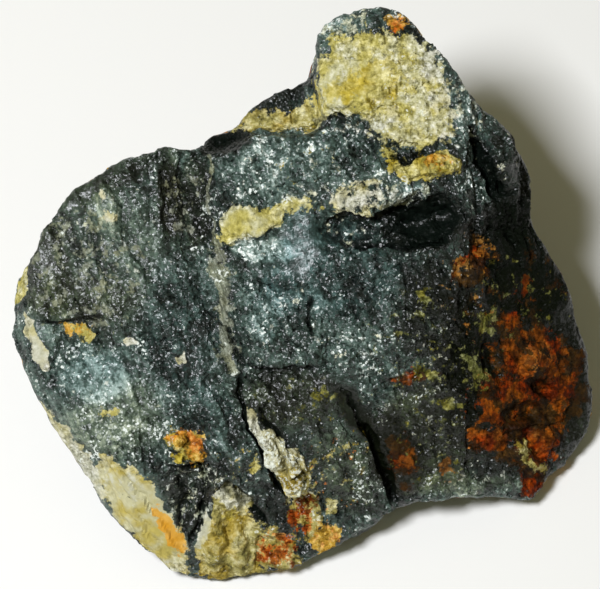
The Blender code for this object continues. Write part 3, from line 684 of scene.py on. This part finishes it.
def makeStone():
    mesh = laidGrid(bpy.data.objects["tourmaline_rock"])
    print("grid laid:", len(mesh.polygons), "triangles")
    points = pointsOf(mesh)
    normals = normalsOf(mesh)
    xy = wandered(faceXY(points))
    towards = normals @ np.array(faceOut)
    facing = smooth(*stone["facing"], towards)

    lighter, warmer = np.zeros(len(points)), np.zeros(len(points))
    for middle, half, turn, lightBy, warmBy in areas.values():
        inside = areaAmount(xy, middle, half, turn) * facing
        lighter += inside * lightBy
        warmer += inside * warmBy
    amounts = stainAmounts(points, xy, facing)
    crumbly = [amounts[kind] for kind in stains if kind not in ("vein", "paintedGlints")]
    matrix = smooth(*stone["matrixFrom"], np.max(crumbly, axis=0))

    calmed = np.zeros(len(points))
    for middle, half, turn, much in calm.values():
        calmed += areaAmount(xy, middle, half, turn) * much * facing
    calmed = np.minimum(calmed, stone["calmMost"])
    out, strand = roughened(points, matrix)
    turnedTo = smooth(*stone["rimFrom"], np.abs(towards))
    out *= (1 - calmed) * (stone["rim"] + (1 - stone["rim"]) * turnedTo)
    # painted shade and light: raised roughness lighter and its hollows darker; the splinters lighter as
    # well
    most = stone["reliefShadeMost"]
    lighter += np.clip(out, -most, most) * stone["reliefShade"] + strand * stone["streaks"]
    addForms(out, xy, facing)
    dark = cutCracks(out, xy, facing)
    # the cracks' painted shade darkens the colour
    lighter -= dark
    settled = smooth(0.0, stone["restingTo"], points[:, 2])  # the resting face stays flat
    points += normals * (out * settled)[:, None]
    points[:, 2] = np.maximum(points[:, 2], 0)

    mesh.vertices.foreach_set("co", (points * mm).ravel())
    marks = {**amounts, "lighter": lighter, "warmer": warmer, "calm": calmed, "strand": strand,
             "dark": dark}
    for kind, amount in marks.items():
        layer = mesh.attributes.new(kind, "FLOAT", "POINT")
        layer.data.foreach_set("value", amount.astype(np.float32))
    mesh.update()
    mesh.materials.clear()
    rock = bpy.data.objects.new("rough_stone", mesh)
    bpy.context.scene.collection.objects.link(rock)
    return rock


rock = makeStone()
print("stone shaped:", len(rock.data.polygons), "triangles")

# Materials


def newMaterial(name):
    material = bpy.data.materials.new(name)
    material.use_nodes = True
    material.node_tree.nodes.clear()
    return material


def addNode(tree, kind, inputs, out=0, **settings):
    # adds a node, sets it up, links or fills its inputs and gives back one output. In a Mix
    # node, input 0 is the share, 2 and 3 are numbers, 6 and 7 are colours.
    node = tree.nodes.new("ShaderNode" + kind)
    for name, value in settings.items():
        setattr(node, name, value)
    for name, value in inputs.items():
        if isinstance(value, bpy.types.NodeSocket):
            tree.links.new(value, node.inputs[name])
        else:
            node.inputs[name].default_value = value
    return node.outputs[out] if len(node.outputs) else node


# Black tourmaline is a glassy, brittle mineral that breaks into tiny steps, so each grain
# catches the light by itself: the eye sees near-black with grey-green glitter.
schorl = {
    "shades": [(0.0, "#0c120e"), (0.25, "#161f1b"), (0.5, "#2f3f38"), (0.75, "#566a61"),
               (1.0, "#9eb0a6")],
    # the colour of the painted glints
    "spark": "#eef5ee",
    "warm": "#ffe8b2",
    "cool": "#cde2ee",
    "grain": 0.36,  # mm, the glittering grains
    "fleck": 0.7,  # mm, the larger flakes
    # soft noises: size in mm, detail, roughness
    "noises": {
        "speckle": (0.5, 2.0, 0.5),
        "mottle": (3.2, 5.0, 0.7),  # patches of lighter and darker grains
        "broad": (9.0, 2.0, 0.7),
        "clusters": (3.2, 5.0, 0.75),  # where the grains that flash lie together
        "crumbs": (0.9, 4.0, 0.62),
        "clods": (2.0, 4.0, 0.62),
        "tones": (4.6, 3.0, 0.6),  # patches of another tint on the stains
        "border": (1.6, 4.5, 0.68),
        "other border": (1.8, 4.5, 0.68),
        "wide border": (3.0, 6.0, 0.7),
    },
    "fibres": (0.42, 9.0, 3.0, 0.65),  # mm across, how much longer, detail, roughness
    # what is added up with its weight: for the shade of the bare stone, for the grains that
    # flash, and for the crumbs of the stains beside their own noise
    "shadeOf": {"grain": 0.12, "fleck": 0.16, "speckle": 0.34, "mottle": 1.1, "broad": 0.6,
                "fibres": 0.3},
    "flashOf": {"lighter": 0.4, "warmer": 0.08, "grain": 0.45, "clusters": 1.3, "calm": -0.36},
    # dark, the cracks' painted shade, darkens the stains' crumbs as well
    "crumbsOf": {"grain": 0.07, "fleck": 0.09, "speckle": 0.2, "strand": 0.12, "dark": -0.5},
    "ownCrumbs": 1.3,  # the weight of that noise
    # the sums that are spread over the shades, the flashes and the stains' colours
    "shadeRange": (0.95, 1.75),
    "flashRange": (1.12, 1.24),
    "crumbRange": (0.48, 1.12),
    "calmMottle": 0.5,  # what the patches and the crumbs come to where the stone is calm
    "calmCrumbs": 0.50,
    "flash": 0.95,  # how far a painted glint hides the colour under it
    "flashOnStains": 0.6,  # how much of that is left on the stains
    "tonesFrom": (0.42, 0.62),
    "raggedBy": (0.25, 0.75, 0.6),  # the border noise from and to, and how far it moves a border
    "stainEdge": (0.42, 0.62),  # where a stain starts and where it is full
    "noStain": 0.08,
    "shineFrom": (-0.8, 0.0),  # how light the stone is where it shines least and most
    "shine": (0.05, 0.5),
    "stainShine": 0.05,
    "broken": (0.8, 0.1),  # how strongly the grains tilt on rough stone and on calm stone
    "crust": (0.3, 0.4),  # strength and height in mm of the crusts' relief
    "roughness": 0.36,
    "ior": 1.63,  # tourmaline's
}


def fillRamp(ramp, stops):
    while len(ramp.elements) > 1:
        ramp.elements.remove(ramp.elements[0])
    for number, (place, shade) in enumerate(stops):
        stop = ramp.elements.new(place) if number else ramp.elements[0]
        stop.position = place
        stop.color = hexColour(shade)


def makeRockMaterial():
    material = newMaterial("broken_black_tourmaline")
    tree = material.node_tree
    where = addNode(tree, "TexCoord", {}, out="Object")
    inMm = addNode(tree, "VectorMath", {0: where, "Scale": 1 / mm}, operation="SCALE")

    def cells(size):
        # flat grains: a random number and a random slope in each
        at = addNode(tree, "VectorMath", {0: inMm, "Scale": 1 / size}, operation="SCALE")
        hue = addNode(tree, "TexVoronoi", {"Vector": at, "Scale": 1.0}, out="Color")
        number = addNode(tree, "SeparateColor", {"Color": hue})
        tilt = addNode(tree, "VectorMath", {0: hue, 1: (0.5, 0.5, 0.5)}, operation="SUBTRACT")
        away = addNode(tree, "VectorMath", {0: at, 1: hue.node.outputs["Position"]},
                       operation="SUBTRACT")
        height = addNode(tree, "VectorMath", {0: tilt, 1: away}, out="Value", operation="DOT_PRODUCT")
        return number, height

    # everything that a sum can draw on, by its name
    fields = {name: addNode(tree, "TexNoise", {"Vector": inMm, "Scale": 1 / size, "Detail": detail,
                                               "Roughness": rough})
              for name, (size, detail, rough) in schorl["noises"].items()}
    # fibres run along the crystals, so their noise is squashed that way
    size, longer, detail, rough = schorl["fibres"]
    along = addNode(tree, "VectorMath", {0: inMm, 1: crystalAlong}, out="Value",
                    operation="DOT_PRODUCT")
    along = addNode(tree, "Math", {0: along, 1: 1 - 1 / longer}, operation="MULTIPLY")
    along = addNode(tree, "VectorMath", {0: crystalAlong, "Scale": along}, operation="SCALE")
    across = addNode(tree, "VectorMath", {0: inMm, 1: along}, operation="SUBTRACT")
    fields["fibres"] = addNode(tree, "TexNoise",
                               {"Vector": across, "Scale": 1 / size, "Detail": detail,
                                "Roughness": rough})
    fields["grain"], grainHeight = cells(schorl["grain"])
    fields["fleck"], fleckHeight = cells(schorl["fleck"])
    # lighter carries painted shade and light as well as the stone's own tone; dark is the cracks'
    # painted shade
    for name in ("lighter", "warmer", "calm", "strand", "dark"):
        fields[name] = addNode(tree, "Attribute", {}, out="Fac", attribute_name=name)
    calmed = fields["calm"]
    fields["mottle"] = addNode(tree, "Mix", {0: calmed, 2: fields["mottle"], 3: schorl["calmMottle"]},
                               data_type="FLOAT")

    def summed(start, weights):
        total = start
        for name, weight in weights.items():
            total = addNode(tree, "Math", {0: fields[name], 1: weight, 2: total},
                            operation="MULTIPLY_ADD")
        return total

    # the bare stone's colour, with the painted shade and light of lighter summed in
    low, high = schorl["shadeRange"]
    shade = addNode(tree, "MapRange",
                    {"Value": summed(fields["lighter"], schorl["shadeOf"]), "From Min": low,
                     "From Max": high})
    colour = addNode(tree, "ValToRGB", {0: shade})
    fillRamp(colour.node.color_ramp, schorl["shades"])
    for tint, turn in (("warm", 1.0), ("cool", -1.0)):
        amount = addNode(tree, "Math", {0: fields["warmer"], 1: turn}, operation="MULTIPLY",
                         use_clamp=True)
        colour = addNode(tree, "Mix", {0: amount, 6: colour, 7: hexColour(schorl[tint])}, out=2,
                         data_type="RGBA", blend_type="MULTIPLY")

    # painted glints: single grains painted near-white, in clusters
    low, high = schorl["flashRange"]
    flash = addNode(tree, "MapRange",
                    {"Value": summed(0.0, schorl["flashOf"]), "From Min": low, "From Max": high,
                     "To Max": schorl["flash"]})
    colour = addNode(tree, "Mix", {0: flash, 6: colour, 7: hexColour(schorl["spark"])}, out=2,
                     data_type="RGBA")

    # each stain has crumbs in its three colours, patches of its tint and a ragged border
    low, high, way = schorl["raggedBy"]
    shifts = {name: addNode(tree, "MapRange", {"Value": fields[name], "From Min": low,
                                               "From Max": high, "To Min": -way, "To Max": way})
              for name in ("border", "other border", "wide border")}
    low, high = schorl["tonesFrom"]
    tones = addNode(tree, "MapRange", {"Value": fields["tones"], "From Min": low, "From Max": high},
                    interpolation_type="SMOOTHSTEP")
    roughness = schorl["roughness"]
    (low, high), (least, most) = schorl["shineFrom"], schorl["shine"]
    shine = addNode(tree, "MapRange",
                    {"Value": fields["lighter"], "From Min": low, "From Max": high, "To Min": least,
                     "To Max": most})
    edgeLow, edgeHigh = schorl["stainEdge"]
    crumbLow, crumbHigh = schorl["crumbRange"]
    for kind, (dull, middle, bright, tint, crumb, border, cover, rough) in stains.items():
        field = addNode(tree, "Attribute", {}, out="Fac", attribute_name=kind)
        ragged = addNode(tree, "Math", {0: field, 1: shifts[border]}, operation="ADD")
        amount = addNode(tree, "MapRange",
                         {"Value": ragged, "From Min": edgeLow, "From Max": edgeHigh, "To Max": cover},
                         interpolation_type="SMOOTHSTEP")
        # nothing ragged where there is none of this stain at all
        some = addNode(tree, "MapRange", {"Value": field, "From Max": schorl["noStain"]})
        amount = addNode(tree, "Math", {0: amount, 1: some}, operation="MULTIPLY")
        crumbs = addNode(tree, "Math", {0: fields[crumb], 1: schorl["ownCrumbs"]}, operation="MULTIPLY")
        crumbs = addNode(tree, "MapRange",
                         {"Value": summed(crumbs, schorl["crumbsOf"]), "From Min": crumbLow,
                          "From Max": crumbHigh})
        crumbs = addNode(tree, "Mix", {0: calmed, 2: crumbs, 3: schorl["calmCrumbs"]},
                         data_type="FLOAT")
        stain = addNode(tree, "ValToRGB", {0: crumbs})
        fillRamp(stain.node.color_ramp, [(0.0, dull), (0.5, middle), (1.0, bright)])
        stain = addNode(tree, "Mix", {0: tones, 6: stain, 7: hexColour(tint)}, out=2, data_type="RGBA",
                        blend_type="MULTIPLY")
        colour = addNode(tree, "Mix", {0: amount, 6: colour, 7: stain}, out=2, data_type="RGBA")
        roughness = addNode(tree, "Mix", {0: amount, 2: roughness, 3: rough}, data_type="FLOAT")
        shine = addNode(tree, "Mix", {0: amount, 2: shine, 3: schorl["stainShine"]}, data_type="FLOAT")

    # the painted glints again on top of the stains, fewer of them
    flash = addNode(tree, "Math", {0: flash, 1: schorl["flashOnStains"]}, operation="MULTIPLY")
    colour = addNode(tree, "Mix", {0: flash, 6: colour, 7: hexColour(schorl["spark"])}, out=2,
                     data_type="RGBA")

    rougher, calmer = schorl["broken"]
    broken = addNode(tree, "MapRange", {"Value": calmed, "To Min": rougher, "To Max": calmer})
    bump = addNode(tree, "Bump", {"Height": grainHeight, "Strength": broken,
                                  "Distance": schorl["grain"] * mm})
    bump = addNode(tree, "Bump", {"Height": fleckHeight, "Strength": broken,
                                  "Distance": schorl["fleck"] * mm, "Normal": bump})
    strength, height = schorl["crust"]
    bump = addNode(tree, "Bump", {"Height": fields["border"], "Strength": strength,
                                  "Distance": height * mm, "Normal": bump})
    shader = addNode(tree, "BsdfPrincipled",
                     {"Base Color": colour, "Roughness": roughness, "IOR": schorl["ior"],
                      "Normal": bump, "Specular IOR Level": shine})
    addNode(tree, "OutputMaterial", {"Surface": shader})
    return material


rock.data.materials.append(makeRockMaterial())
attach(rock, "root")
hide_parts("tourmaline_rock")
print("material made")

# Floor, light and camera

studio = {
    "floor": "#f1f0ec",
    "floorSize": 3.0,  # m
    "floorRoughness": 0.9,
    "keyFrom": (-0.238, -0.154, 0.644),  # m, high in front on the left
    "keySize": 0.15,  # m
    "keyPower": 5.4,  # W
    "keyColour": "#f7f9ff",
    "sky": 0.15,
    "skyColour": "#fffac8",
    "lens": 300.0,  # mm
    "sensor": 36.0,  # mm
    "nearest": 0.01,  # m, what the camera still sees
    "aim": (300.0, 294.5),  # the photograph's middle, in its pixels
}


def makeStudio():
    bpy.ops.mesh.primitive_plane_add(size=studio["floorSize"])
    floor = bpy.context.object
    floor.name = "floor"
    # white painted board, matt, so that it only takes the shadow
    material = newMaterial("white_board")
    tree = material.node_tree
    shader = addNode(tree, "BsdfPrincipled",
                     {"Base Color": hexColour(studio["floor"]), "Roughness": studio["floorRoughness"]})
    addNode(tree, "OutputMaterial", {"Surface": shader})
    floor.data.materials.append(material)

    world = bpy.data.worlds.new("sky")
    bpy.context.scene.world = world
    world.use_nodes = True
    background = world.node_tree.nodes["Background"]
    background.inputs["Color"].default_value = hexColour(studio["skyColour"])
    background.inputs["Strength"].default_value = studio["sky"]

    key = bpy.data.lights.new("key", "AREA")
    key.size = studio["keySize"]
    key.energy = studio["keyPower"]
    key.color = hexColour(studio["keyColour"])[:3]
    lamp = bpy.data.objects.new("key", key)
    lamp.location = studio["keyFrom"]
    lamp.rotation_euler = Vector(studio["keyFrom"]).to_track_quat("Z", "Y").to_euler()
    lamp.visible_camera = False
    bpy.context.scene.collection.objects.link(lamp)


def makeCamera():
    data = bpy.data.cameras.new("camera")
    data.lens = studio["lens"]
    data.sensor_width = studio["sensor"]
    data.clip_start = studio["nearest"]
    camera = bpy.data.objects.new("camera", data)
    x, y = fromPhoto([studio["aim"]])[0]
    aim = Vector(face["origin"]) + Vector((x, 0, 0)) + faceUp * y
    camera.location = (aim + faceOut * face["eye"]) * mm
    camera.rotation_euler = faceOut.to_track_quat("Z", "Y").to_euler()
    bpy.context.scene.collection.objects.link(camera)
    bpy.context.scene.camera = camera


makeStudio()
makeCamera()
bpy.context.scene.view_settings.view_transform = "Standard"
print("studio set")
